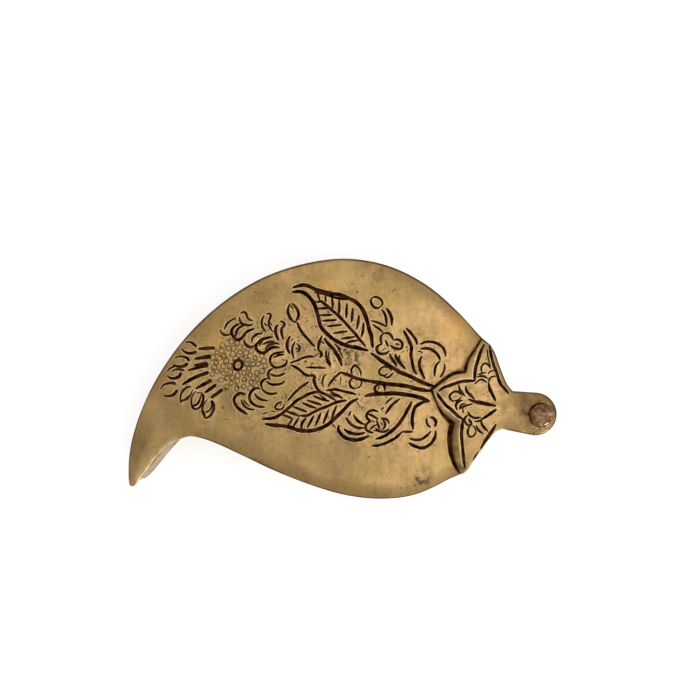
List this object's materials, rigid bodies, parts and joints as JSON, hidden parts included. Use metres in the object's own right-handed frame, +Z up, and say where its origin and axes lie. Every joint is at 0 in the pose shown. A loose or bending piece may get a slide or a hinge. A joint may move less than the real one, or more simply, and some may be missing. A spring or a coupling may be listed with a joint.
{
  "type": "mango-shaped brass box",
  "caption": "Low mango-shaped brass box. Its engraved lid swings round flat on a rivet at the stem end and uncovers an inside parted by cross dividers.",
  "frame": {"origin": "on the surface the box stands on, under the middle of the closed box's outline", "axes": "+X from the hooked tip towards the stem and its rivet, +Y across towards the rounded back, +Z up out of the lid"},
  "size_m": [0.15, 0.084, 0.0323],
  "materials": {
    "engraved_brass": "hand-polished cast brass, engraved, dark patina in the cuts",
    "plain_brass": "satin brass with light tarnish",
    "inner_brass": "dull tarnished brass",
    "worn_rivet": "hammered, brown with wear"
  },
  "bodies": {
    "base": {"floor_plate": "plain_brass", "outer_wall": "plain_brass", "inner_wall": "plain_brass", "hinge_lug": "plain_brass", "tip_divider": "inner_brass", "stem_divider": "inner_brass", "pivot_rivet": "worn_rivet", "pivot_washer": "plain_brass", "rivet_burr": "worn_rivet"},
    "lid": {"lid_plate": "engraved_brass", "calyx_stem": "engraved_brass"}
  },
  "joints": [
    {"name": "lid_swivel", "type": "hinge", "parent": "base", "child": "lid", "pos_m": [0.0693, -0.0127, 0.0282], "axis": [0, 0, 1], "continuous": true}
  ]
}
